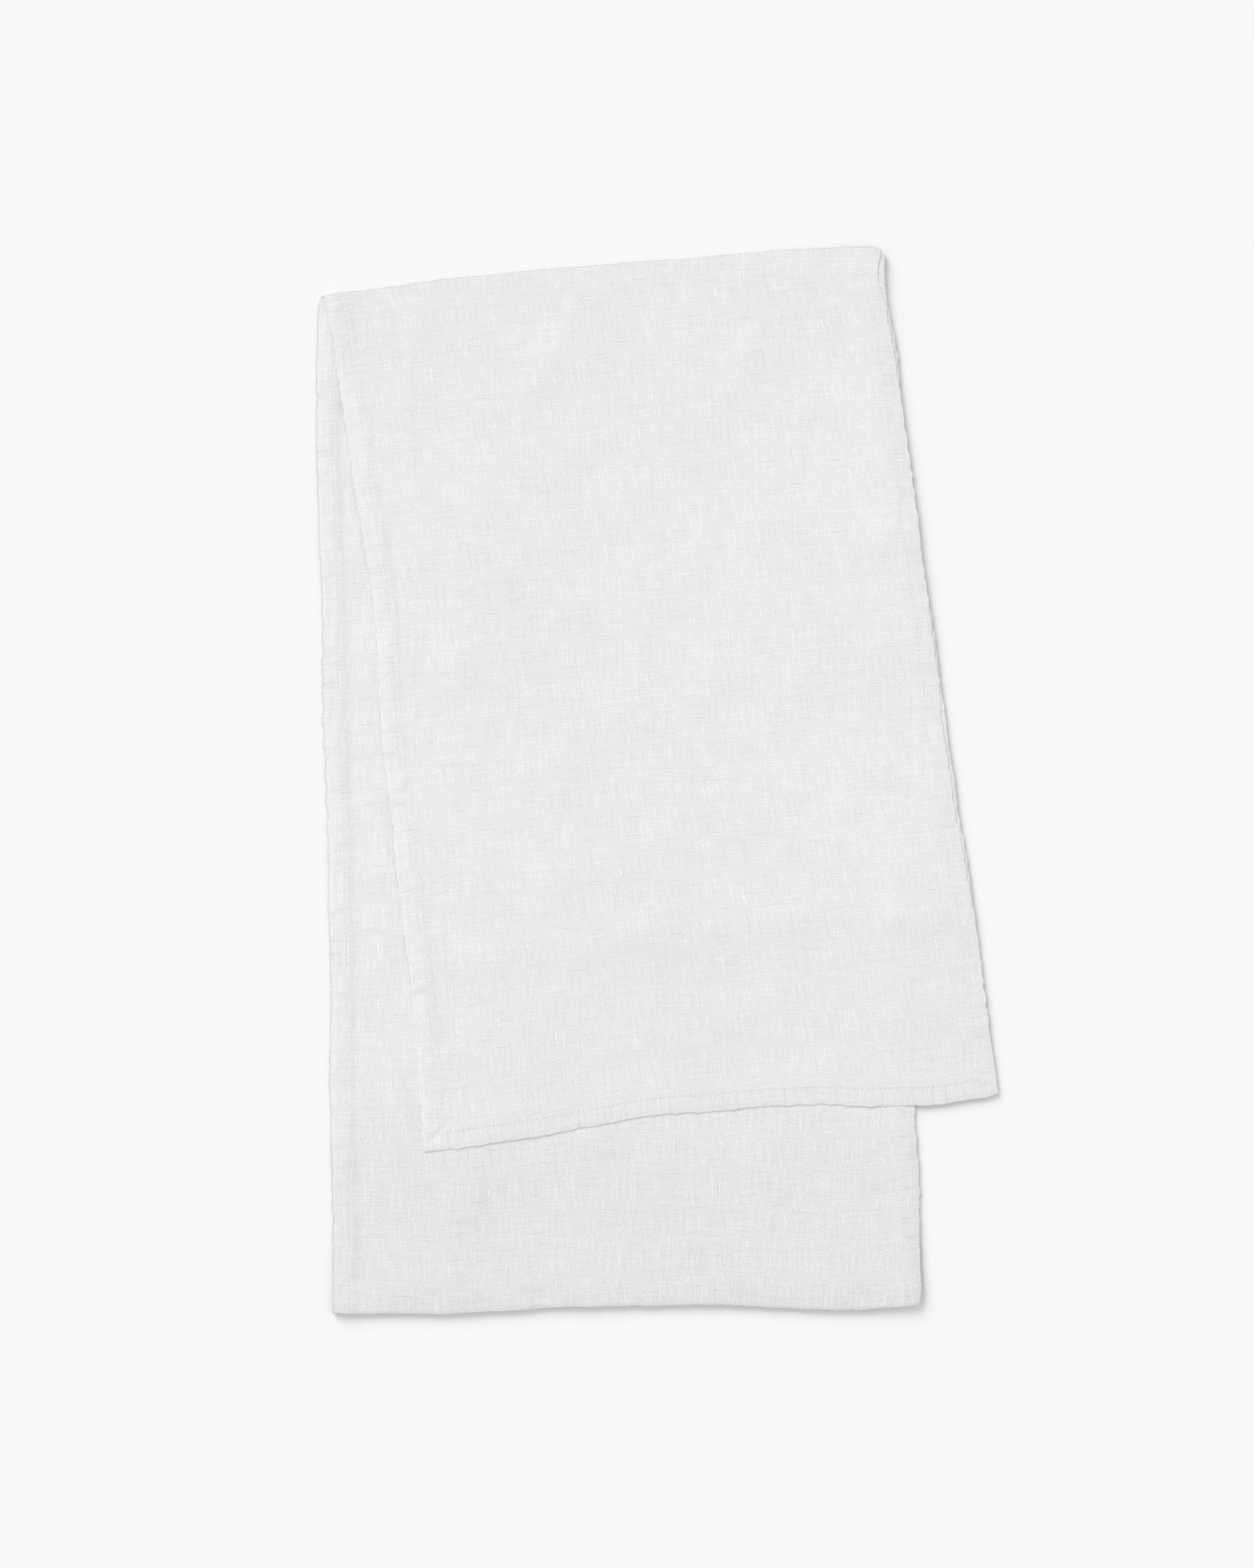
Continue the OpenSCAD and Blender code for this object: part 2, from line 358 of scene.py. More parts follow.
def drape(support, mask, reach, sag, passes=160):
    """Lays a sheet on its support: it bridges hollows and rounds off every step. A stiffer sheet
    has a longer reach and a smaller sag."""
    count = neighbours(mask.astype(float)) + 1e-9
    z = np.where(mask, np.maximum(support, spread_out(support, mask, reach)), 0)
    for _ in range(passes):
        z = np.where(mask, np.maximum(support, neighbours(z) / count - sag), 0)
    # carry the border outwards, so that points on the edge find a height
    known = mask.copy()
    for _ in range(8):
        count = neighbours(known.astype(float))
        fresh = ~known & (count > 0)
        z = np.where(fresh, neighbours(np.where(known, z, 0)) / np.maximum(count, 1), z)
        known |= fresh
    return blurred(z, 4)


grid_x, grid_y = np.meshgrid(GRID_X, GRID_Y)
grid_plan = np.stack([grid_x, grid_y], -1)
from_top_fold = -((grid_plan - TOP_C) @ FOLD_OUT)
from_middle_fold = -((grid_plan - MIDDLE_C) @ MIDDLE_OUT)


def near(distance, reach):
    return np.exp(-((np.maximum(distance, 0) / reach) ** 2))


def crease(x0, y0, x1, y1, width, height):
    """A short straight ridge (or, with a height below 0, a groove) that fades at both ends."""
    a, b = np.array([x0, y0]), np.array([x1, y1])
    length = np.linalg.norm(b - a)
    u = (b - a) / length
    along = ((grid_plan - a) @ u) / length
    across = (grid_plan - a) @ left_of(u)
    taper = smooth_step(-0.15, 0.15, along) * smooth_step(1.15, 0.85, along)
    return height * np.exp(-((across / width) ** 2)) * taper


def pleat(x0, y0, x1, y1, width, height):
    """A pressed crease: a ridge with a groove on its far side."""
    slip = 0.9 * width * left_of(unit(np.array([x1 - x0, y1 - y0])))
    return crease(x0, y0, x1, y1, width, height) - crease(
        x0 + slip[0], y0 + slip[1], x1 + slip[0], y1 + slip[1], width, height)


OUTER_END_C = TOP_C - FLAP_L * left_of(heading(FLAP_LEAN))
INNER_END_C = TOP_C - INNER_L * left_of(heading(FLAP_LEAN))
INNER_END_W = FOLD_W + (END_W - FOLD_W) * INNER_L / FLAP_L
under = Layer("under", MIDDLE_C, LOWER_LEAN, CLOTH_W, LAID_L, 100, False, False)
top = Layer("top", MIDDLE_C, LOWER_LEAN, CLOTH_W, LAID_L, 100, True, False)
inner = Layer("inner", INNER_END_C, END_TILT, INNER_END_W, INNER_L, 200, False, True)
outer = Layer("outer", OUTER_END_C, END_TILT, END_W, FLAP_L, 300, True, True)

# distances in from the left edges and out past the lower layers' right edge
in_lower = (grid_plan - top.left.a) @ left_of(unit(top.left.b - top.left.a))
in_outer = (grid_plan - outer.left.a) @ left_of(unit(outer.left.b - outer.left.a))
past_right = (grid_plan - top.right.a) @ left_of(unit(top.right.b - top.right.a))

slack = [0.07 * soft_noise(seed, 38, 52) ** 2 for seed in (1, 2, 3, 4)]
rumple = 0.036 * soft_noise(5, 20, 30) + 0.012 * soft_noise(6, 7, 9)
streaks = soft_noise(8, 5, 60)

# what storage has pressed into the two faces that are seen
pressed_top = (
    0.05 * streaks * smooth_step(90, 20, in_lower)
    + 0.35 * smooth_step(21, 35, in_lower) * smooth_step(52, 36, in_lower)
    * smooth_step(200, 165, grid_y) * smooth_step(-135, -120, grid_y)
    - 0.28 * np.exp(-(((in_lower - 18) / 4.5) ** 2))
    * smooth_step(285, 262, grid_y) * smooth_step(232, 236, grid_y)
    + pleat(-240, 232, -205, 231, 1.8, 0.16)
    + pleat(-240, 46, -185, 45, 1.8, 0.14)
    + pleat(-240, -131, -170, -129, 1.8, 0.2)
    + pleat(-240, -307, -60, -303, 1.8, 0.1)
    + pleat(-226, -74, -214, -71, 1.6, 0.22)
    + pleat(-226, -86, -216, -85, 1.6, 0.2)
    + pleat(-226, -117, -214, -113, 1.6, 0.2)
    + pleat(-224, -52, -214, -54, 1.6, 0.12)
)
pressed_outer = (
    0.05 * streaks * (0.25 + 0.75 * smooth_step(110, 30, in_outer))
    - 0.16 * np.exp(-(((in_outer - 17) / 4.0) ** 2))
    * smooth_step(110, 85, grid_y) * smooth_step(-55, -30, grid_y)
    + pleat(149, 174, 158, 174, 1.5, 0.22)
    + pleat(162, 136, 167, 136, 1.5, 0.2)
    + pleat(165, -39, 204, -35, 1.5, 0.12)
    + pleat(-169, -184, -151, -176, 1.6, 0.16)
    + pleat(-102, -191, -73, -187, 1.6, 0.1)
    + crease(-144, -230, -156, -245, 1.4, -0.3)
    + crease(-142, -231, -154, -246, 4.0, -0.16)
    + crease(-135, -237, -135, -246, 1.4, -0.3)
    + crease(-133, -237, -133, -246, 4.0, -0.14)
    + pleat(-203, 46, -161, 46, 1.8, 0.14)
    + pleat(-173, -130, -160, -129, 1.6, 0.16)
    + pleat(-215, 231, -196, 233, 1.8, 0.16)
    + pleat(-93, -115, -60, -112, 1.5, 0.1)
)

# the outer flap lies close along its end
to_outer_end = (grid_plan - outer.end.a) @ left_of(unit(outer.end.b - outer.end.a))
end_free = smooth_step(5, 60, to_outer_end)

stack_top = np.zeros(SHAPE)
masks = {}
fold_lift = near(from_middle_fold, 38)
# the hems of the right edges don't nest, and the folds there hold the layers apart
edge_lift = smooth_step(-80, 0, past_right)
corner_lift = smooth_step(70, 10, from_top_fold) * smooth_step(-120, -10, past_right)
under_lift = 0.1 + slack[0] * 0.5 + 1.2 * fold_lift + 0.36 * edge_lift + 0.6 * corner_lift
top_lift = 0.08 + slack[1] + 1.7 * fold_lift + 0.36 * edge_lift + 0.5 * corner_lift
# each layer with its lift, reach and sag, from the table up
for name, layer, lift, reach, sag in (
    ("under", under, under_lift, 4, 0.003),
    ("top", top, top_lift, 5, 0.006),
    ("inner", inner, 0.06 + slack[2], 6, 0.002),
    ("outer", outer, 0.04 + slack[3] * end_free, 14, 0.0006),
):
    mask, rise = footprint(layer)
    masks[name] = mask
    below = stack_top
    if name in ("inner", "outer"):
        # the flaps are stiff enough to stand out past the layers below them, drooping a little
        droop = 0.1 * (np.maximum(past_right, 0) / 50) ** 2
        carried = spread_out(stack_top, masks["under"], 12) - droop
        below = np.where(masks["under"], stack_top, np.maximum(stack_top, carried))
    layer.height = drape(below + lift, mask, reach, sag) + HALF_PLY + LAYER_GAP
    if name == "outer":
        layer.height = layer.height + rumple + pressed_outer
    elif name == "top":
        layer.height = layer.height + 1.6 * rumple[::-1] + pressed_top
    stack_top = np.where(mask, layer.height + HALF_PLY + rise, stack_top)

# ---------------------------------------------------------------- meshes


def steps(a, b, size):
    """Evenly spread values from a to b, about size apart."""
    return np.linspace(a, b, max(2, int(round(abs(b - a) / size)) + 1))


def joined(*parts):
    """One rising or falling list of values from parts that share their end values."""
    return np.concatenate([parts[0]] + [p[1:] for p in parts[1:]])


EDGE_ZONE = 20.0
ACROSS = joined(steps(0, EDGE_ZONE, 1.25), steps(EDGE_ZONE, CLOTH_W - EDGE_ZONE, 3.1),
                steps(CLOTH_W - EDGE_ZONE, CLOTH_W, 1.25)) / CLOTH_W


class Panel:
    """Rows of a flat layer, at the given stations along it (v from 0 to 1)."""

    def __init__(self, layer, stations):
        self.layer, self.t = layer, stations

    def points(self, s, t):
        return self.layer.xyz(s, t)


class Bend:
    """Half a tube that joins the folds of two layers, turning from the layer before to the
    layer after. t runs from 0 to 1 round it."""

    # the argument after squash is painted shade, darkening the bend's rows
    def __init__(self, before, after, v, out, squash, fold_painted_shade, rows=12):
        self.before, self.after, self.v, self.out = before, after, v, out
        self.squash, self.fold_painted_shade = squash, fold_painted_shade
        self.t = np.linspace(0, 1, rows + 1)

    def points(self, s, t):
        s, t = np.broadcast_arrays(s, t)
        v = np.full(s.shape, float(self.v))
        a, b = self.before.xyz(s, v), self.after.xyz(s, v)
        turn = np.pi * t[..., None]
        bulge = np.abs((b - a)[..., 2:]) / 2 * self.squash * np.sin(turn)
        out = np.concatenate([np.broadcast_to(self.out, a.shape[:-1] + (2,)), 0 * bulge], -1)
        return a + (b - a) * (1 - np.cos(turn)) / 2 + bulge * out


class Cloth:
    """A stretch of the runner as a run of panels and bends, in order along the cloth. Its face
    is on the side of the cross product of s and the run's direction."""

    def __init__(self, parts, start_v, end_first=False, end_last=False):
        self.parts, self.end_first, self.end_last = parts, end_first, end_last
        self.part_of = np.concatenate([np.full(len(p.t), i) for i, p in enumerate(parts)])
        self.t = np.concatenate([p.t for p in parts])
        keep = np.ones(len(self.t), bool)
        for i in range(1, len(parts)):
            keep[np.argmax(self.part_of == i)] = False
        self.part_of, self.t = self.part_of[keep], self.t[keep]
        lengths = self.points(np.array([0.5]), self.t[:, None])[:, 0]
        travelled = np.linalg.norm(np.diff(lengths, axis=0), axis=1)
        self.run = start_v + np.concatenate([[0], np.cumsum(travelled)])
        # painted shade along a bend's rows, and half as much on the row just before it
        fold_painted_shade = np.array([getattr(parts[i], "fold_painted_shade", 0.0) for i in self.part_of])
        self.painted_shading = np.maximum(fold_painted_shade, 0.5 * np.roll(fold_painted_shade, -1) * (fold_painted_shade == 0))
        self.edge_painted_shade = 0.0

    def points(self, s, t):
        """Points at s (columns, or rows by columns) and t (rows by columns)."""
        s, t = np.broadcast_arrays(np.atleast_2d(s), t)
        out = np.empty(t.shape + (3,))
        for i, part in enumerate(self.parts):
            rows = self.part_of == i
            out[rows] = part.points(s[rows], t[rows])
        return out

    def from_end(self):
        """Distance of each row from the nearest cut end of the cloth, or far where it has none."""
        far = np.full(len(self.t), 1e6)
        if self.end_first:
            far = np.minimum(far, self.run - self.run[0])
        if self.end_last:
            far = np.minimum(far, self.run[-1] - self.run)
        return far

    def moved_in(self, inset):
        """t of each row when its cut end is moved in by inset, for a mitre."""
        t = self.t.copy()
        part = self.parts[0 if self.end_first else -1]
        if not (self.end_first or self.end_last):
            return t
        gap = (1 - t) * part.layer.length
        rows = (self.part_of == (0 if self.end_first else len(self.parts) - 1)) & (gap < MITRE_REACH)
        t[rows] = 1 - (inset + gap[rows] * (1 - inset / MITRE_REACH)) / part.layer.length
        return t

    def surface(self, s, t):
        """Points, face normals and the direction of rising s."""
        step = NUDGE / CLOTH_W
        points = self.points(s, t)
        across = unit(self.points(s + step, t) - self.points(s - step, t))
        along = np.gradient(points, axis=0)
        normal = unit(np.cross(across, along))
        return points, normal, across


def hem_profile():
    """(inset, outward, depth) points of a double-turned hem from the face's edge: round the
    outer fold, in along the back ply, round the inner fold, and out to the raw edge."""
    r, small = PLY_PITCH * EDGE_PRESS, PLY_PITCH / 2
    path = []
    for a in np.linspace(0, np.pi, 6)[1:]:
        path.append((0.0, r * math.sin(a), r * (1 - math.cos(a))))
    for d in (1.0, 2.0, PRESS_REACH, HEM_W / 2, HEM_W):
        path.append((d, 0.0, TURNED * pressed(d)))
    for a in np.linspace(0, np.pi, 4)[1:]:
        path.append((HEM_W + small * math.sin(a), 0.0, TURNED - small * (1 - math.cos(a))))
    for d in np.linspace(HEM_W, RAW_EDGE, 4)[1:]:
        path.append((d, 0.0, PLY_PITCH * pressed(d)))
    return path


HEM_PATH = hem_profile()


def hem_cloth(i):
    """Distance of the profile's point i from the finished edge, measured along the cloth."""
    at = [(0.0, 0.0)] + [(o - d if o else -d, z) for d, o, z in HEM_PATH[: i + 1]]
    return sum(math.dist(a, b) for a, b in zip(at, at[1:]))


HEM_CLOTH = [hem_cloth(i) for i in range(len(HEM_PATH))]
# painted shading on the mesh: above 0 it darkens the linen as painted shade, below 0 it
# lightens it as painted light; here along the outer fold of a hem
# painted light: lightens the turned edges on the right and at the ends, on the side away from the key
# light
TURNED_EDGE_PAINTED_LIGHT = -0.5  # for the turned edges on the right and at the ends, which look paler
HEM_PAINTED_ROWS = np.array([1.0] + [1.0 if outward > 0.01 else 0.0 for _, outward, _ in HEM_PATH])


class MeshParts:
    """Collects grids of points into one mesh, with the cloth's own coordinates on each point."""

    def __init__(self):
        self.points, self.faces, self.cloth, self.painted_shading = [], [], [], []
        self.count = 0

    def grid(self, points, cloth, painted_shading, flip=False):
        rows, columns = points.shape[:2]
        index = self.count + np.arange(rows * columns).reshape(rows, columns)
        quads = np.stack([index[:-1, :-1], index[:-1, 1:], index[1:, 1:], index[1:, :-1]], -1)
        quads = quads.reshape(-1, 4)
        self.faces.append(quads[:, ::-1] if flip else quads)
        self.points.append(points.reshape(-1, 3))
        self.cloth.append(cloth.reshape(-1, 3))
        self.painted_shading.append(np.broadcast_to(painted_shading, (rows, columns)).ravel())
        self.count += rows * columns

    def build(self, name):
        points = np.concatenate(self.points) * MM
        faces = np.concatenate(self.faces)
        mesh = bpy.data.meshes.new(name)
        mesh.from_pydata(points.tolist(), [], faces.tolist())
        held = mesh.attributes.new("cloth", "FLOAT_VECTOR", "POINT")
        held.data.foreach_set("vector", np.concatenate(self.cloth).astype(np.float32).ravel())
        held = mesh.attributes.new("painted_shading", "FLOAT", "POINT")
        held.data.foreach_set("value", np.concatenate(self.painted_shading).astype(np.float32))
        obj = bpy.data.objects.new(name, mesh)
        bpy.context.collection.objects.link(obj)
        return obj


def apply_modifier(obj, kind, **settings):
    modifier = obj.modifiers.new(kind, kind)
    for key, value in settings.items():
        setattr(modifier, key, value)
    bpy.context.view_layer.update()
    graph = bpy.context.evaluated_depsgraph_get()
    mesh = bpy.data.meshes.new_from_object(obj.evaluated_get(graph))
    obj.modifiers.clear()
    obj.data = mesh


def cloth_mesh(name, cloth):
    """The face ply, the side hems and any end hem of a stretch of cloth, as one closed mesh."""
    parts = MeshParts()
    s = ACROSS[None, :]
    points, _, _ = cloth.surface(s, cloth.t[:, None])
    u = np.broadcast_to(s * CLOTH_W, points.shape[:2])
    run = np.broadcast_to(cloth.run[:, None], points.shape[:2])
    # painted shade: a thin dark line along the face's left edge
    at_edge = cloth.edge_painted_shade * np.exp(-((u / 0.5) ** 2))
    parts.grid(points, np.stack([u, run, np.zeros_like(u)], -1), np.maximum(at_edge, cloth.painted_shading[:, None]))
    from_end = cloth.from_end()
    end_row = 0 if cloth.end_first else -1
    has_end = cloth.end_first or cloth.end_last
    # unit direction out of the cut end, at each column of the face
    if has_end:
        near_row = 1 if cloth.end_first else -2
        end_out = unit(points[end_row] - points[near_row])
    for side in (-1, 1):
        strip, labels = [], []
        edge = [points[:, 0 if side < 0 else -1]]
        for (inset, outward, depth), beyond in zip(HEM_PATH, HEM_CLOTH):
            own_s = np.array([[inset / CLOTH_W if side < 0 else 1 - inset / CLOTH_W]])
            own, up, right = cloth.surface(own_s, cloth.moved_in(inset)[:, None])
            out = side * right[:, 0]
            if has_end:
                corner = end_out[0 if side < 0 else -1]
                out = out + np.clip(1 - from_end / CORNER_REACH, 0, 1)[:, None] * corner
            strip.append(own[:, 0] + outward * out - depth * up[:, 0])
            labels.append((-beyond if side < 0 else CLOTH_W + beyond, depth))
        strip = np.stack(edge + strip, 1)
        beyond_u = np.array([0.0 if side < 0 else CLOTH_W] + [b for b, _ in labels])
        ply = np.array([0.0] + [d / PLY_PITCH for _, d in labels])
        label = np.stack(np.broadcast_arrays(beyond_u[None, :], cloth.run[:, None], ply[None, :]), -1)
        # painted shade on the left hem's outer fold, painted light on the right hem's
        turned = cloth.edge_painted_shade if side < 0 else TURNED_EDGE_PAINTED_LIGHT
        parts.grid(strip, label, turned * HEM_PAINTED_ROWS[None, :] + cloth.painted_shading[:, None], flip=side < 0)
    if has_end:
        strip, labels = [points[end_row]], [(0.0, 0.0)]
        layer = cloth.parts[end_row].layer
        columns = ACROSS * CLOTH_W
        sense = -1 if cloth.end_first else 1
        for (inset, outward, depth), beyond in zip(HEM_PATH, HEM_CLOTH):
            mirror = CLOTH_W - columns
            left, right = (
                np.where(place < MITRE_REACH, inset + place * (1 - inset / MITRE_REACH), place)
                for place in (columns, mirror))
            own_s = np.where(columns < CLOTH_W / 2, left, CLOTH_W - right)[None, :] / CLOTH_W
            t = np.array([[1 - inset / layer.length]])
            own = layer.xyz(own_s, t)[0]
            step = NUDGE / CLOTH_W
            right_dir = unit(layer.xyz(own_s + step, t)[0] - layer.xyz(own_s - step, t)[0])
            ahead = layer.xyz(own_s, t + sense * NUDGE / layer.length)[0]
            behind = layer.xyz(own_s, t - sense * NUDGE / layer.length)[0]
            up = unit(np.cross(right_dir, ahead - behind))
            out = end_out.copy()
            out = out - np.clip(1 - columns / CORNER_REACH, 0, 1)[:, None] * right_dir
            out = out + np.clip(1 - mirror / CORNER_REACH, 0, 1)[:, None] * right_dir
            strip.append(own + outward * out - depth * up)
            labels.append((beyond, depth))
        strip = np.stack(strip, 0)
        beyond_v = np.array([cloth.run[end_row] + sense * b for b, _ in labels])
        ply = np.array([d / PLY_PITCH for _, d in labels])
        label = np.stack(np.broadcast_arrays(columns[None, :], beyond_v[:, None], ply[:, None]), -1)
        # painted light on the end hem's outer fold
        parts.grid(strip, label, TURNED_EDGE_PAINTED_LIGHT * HEM_PAINTED_ROWS[:, None], flip=cloth.end_first)
    obj = parts.build(name)
    apply_modifier(obj, "WELD", merge_threshold=0.02 * MM)
    apply_modifier(obj, "SOLIDIFY", thickness=PLY_T * MM, offset=0.0, use_even_offset=False)
    obj.data.shade_smooth()
    return obj


def v_rows(layer, from_top, size=2.2):
    """Rows of a layer, finer along a cut end, from its top fold down or from its end up."""
    if layer.has_end:
        split = 1 - EDGE_ZONE / layer.length
        first = 0.6 / layer.length
        rows = joined([0.0, first], steps(first, split, size / layer.length),
                      steps(split, 1, 1.25 / layer.length))
    else:
        rows = steps(0, 1, size / layer.length)
    return rows if from_top else rows[::-1]


# painted shade (1.8 below) darkens the outer flap's top fold, against the glow the key light gives its
# rounded crest
outer_run = Cloth(
    [Panel(outer, v_rows(outer, False)), Bend(outer, under, 0, FOLD_OUT, 0.25, 1.8)],
    0.0, end_first=True)
lower_run = Cloth(
    [Panel(under, v_rows(under, True, 5.0)), Bend(under, top, 1, MIDDLE_OUT, 0.35, 0.0),
     Panel(top, v_rows(top, False, 2.6))],
    outer_run.run[-1])
inner_run = Cloth(
    [Bend(top, inner, 0, FOLD_OUT, 0.25, 0.0), Panel(inner, v_rows(inner, True, 4.0))],
    lower_run.run[-1], end_last=True)

# painted shade: a thin dark line along the lower layers' left edge
lower_run.edge_painted_shade = 1.0  # a dark line along the lower layers' left edge

outer_cloth = cloth_mesh("outer_flap_cloth", outer_run)
lower_cloth = cloth_mesh("lower_layers_cloth", lower_run)
inner_cloth = cloth_mesh("inner_flap_cloth", inner_run)

# ---------------------------------------------------------------- stitching


def stitch_path(cloth, inset, side):
    """Points and face normals along a side seam, and their places along the cloth."""
    s = inset / CLOTH_W if side < 0 else 1 - inset / CLOTH_W
    points, normal, _ = cloth.surface(np.array([[s]]), cloth.moved_in(0.0)[:, None])
    return points[:, 0], normal[:, 0], cloth.run


def end_path(cloth, inset):
    row = 0 if cloth.end_first else -1
    layer = cloth.parts[row].layer
    s = (ACROSS * CLOTH_W)[None, :] / CLOTH_W
    t = np.array([[1 - inset / layer.length]])
    points = layer.xyz(s, t)[0]
    up = np.tile([0, 0, 1.0 if layer.face_up else -1.0], (len(points), 1))
    return points, up, ACROSS * CLOTH_W


def stitches(name, paths):
    """Rows of separate stitches along (points, normals, places, start, stop) paths, on both faces.
    Each stitch is centred on a whole multiple of the pitch, counted along the cloth."""
    ring = np.linspace(0, 2 * np.pi, 7)[:-1]
    stations = np.array([-1.0, -0.8, -0.35, 0.35, 0.8, 1.0])
    girth = np.array([0.25, 0.8, 1.0, 1.0, 0.8, 0.25])
    sink = np.array([-0.9, -0.35, 0.15, 0.15, -0.35, -0.9])
    verts, faces, labels = [], [], []
    rng = np.random.default_rng(7)
    for points, normals, length, start, stop in paths:
        first_one = math.ceil((start + STITCH_L / 2) / STITCH_PITCH)
        last_one = math.floor((stop - STITCH_L / 2) / STITCH_PITCH)
        at = np.arange(first_one, last_one + 1) * STITCH_PITCH
        at = at + rng.uniform(-0.12, 0.12, len(at))
        for lift, shift in ((HALF_PLY, 0.0), (-TURNED - HALF_PLY, STITCH_PITCH / 2)):
            sense = 1 if lift > 0 else -1
            for middle in at + shift:
                half = STITCH_L / 2 * rng.uniform(0.92, 1.06)
                where = np.clip(middle + half * stations, length[0], length[-1])
                line = np.stack([np.interp(where, length, points[:, k]) for k in range(3)], 1)
                up = unit(np.stack([np.interp(where, length, normals[:, k]) for k in range(3)], 1))
                forward = unit(np.gradient(line, axis=0) + 1e-9)
                beside = unit(np.cross(forward, up))
                line = line + up * (lift + sense * STITCH_R * sink)[:, None]
                first = len(verts) * len(stations) * len(ring)
                circle = (
                    line[:, None]
                    + STITCH_R * girth[:, None, None]
                    * (np.cos(ring)[None, :, None] * beside[:, None]
                       + 0.75 * np.sin(ring)[None, :, None] * up[:, None])
                )
                verts.append(circle.reshape(-1, 3))
                n = len(ring)
                for i in range(len(stations) - 1):
                    for j in range(n):
                        k = (j + 1) % n
                        faces.append((first + i * n + j, first + i * n + k,
                                      first + (i + 1) * n + k, first + (i + 1) * n + j))
                last = first + (len(stations) - 1) * n
                faces.append(tuple(first + j for j in reversed(range(n))))
                faces.append(tuple(last + j for j in range(n)))
    mesh = bpy.data.meshes.new(name)
    mesh.from_pydata((np.concatenate(verts) * MM).tolist(), [], faces)
    obj = bpy.data.objects.new(name, mesh)
    bpy.context.collection.objects.link(obj)
    mesh.shade_smooth()
    return obj


SEAM = HEM_W - STITCH_IN
seams = {}
for side, word in ((-1, "left"), (1, "right")):
    for body, run in (("outer_flap", outer_run), ("inner_flap", inner_run), ("lower_layers", lower_run)):
        start = run.run[0] + SEAM * run.end_first
        stop = run.run[-1] - SEAM * run.end_last
        seams[f"{body}_{word}_stitching"] = stitch_path(run, SEAM, side) + (start, stop)
for flap, run in (("outer_flap", outer_run), ("inner_flap", inner_run)):
    seams[f"{flap}_end_stitching"] = end_path(run, SEAM) + (SEAM, CLOTH_W - SEAM)
stitch_objects = {name: stitches(name, [path]) for name, path in seams.items()}

# ---------------------------------------------------------------- materials


def shader(name):
    material = bpy.data.materials.new(name)
    material.use_nodes = True
    tree = material.node_tree
    bsdf = tree.nodes["Principled BSDF"]
    return material, tree, bsdf


def node(tree, kind, **settings):
    made = tree.nodes.new("ShaderNode" + kind)
    for key, value in settings.items():
        if key.startswith("in_"):
            made.inputs[int(key[3:])].default_value = value
        else:
            setattr(made, key, value)
    return made


def math_node(tree, operation, a, b=None, c=None):
    made = node(tree, "Math", operation=operation)
    for i, value in enumerate((a, b, c)):
        if value is None:
            continue
        if isinstance(value, (int, float)):
            made.inputs[i].default_value = value
        else:
            tree.links.new(value, made.inputs[i])
    return made.outputs[0]


def stretched_noise(tree, coordinates, x, y, detail=0.0, offset=0.0):
    """Noise whose lumps are about x by y millimetres on the cloth, from about 0 to 1."""
    scale = node(tree, "Mapping", vector_type="POINT")
    scale.inputs["Scale"].default_value = (1 / x, 1 / y, 1)
    scale.inputs["Location"].default_value = (offset, offset * 1.7, offset * 0.3)
    tree.links.new(coordinates, scale.inputs["Vector"])
    noise = node(tree, "TexNoise")
    noise.inputs["Scale"].default_value = 1.0
    noise.inputs["Detail"].default_value = detail
    tree.links.new(scale.outputs[0], noise.inputs["Vector"])
    return noise.outputs["Fac"]


def ranged(tree, value, a, b, to_a, to_b):
    """Runs smoothly from to_a, where the value is a, to to_b, where it is b."""
    made = node(tree, "MapRange", interpolation_type="SMOOTHSTEP")
    for name, number in (("From Min", a), ("From Max", b), ("To Min", to_a), ("To Max", to_b)):
        made.inputs[name].default_value = number
    tree.links.new(value, made.inputs["Value"])
    return made.outputs["Result"]


def total(tree, terms):
    out = terms[0]
    for term in terms[1:]:
        out = math_node(tree, "ADD", out, term)
    return out


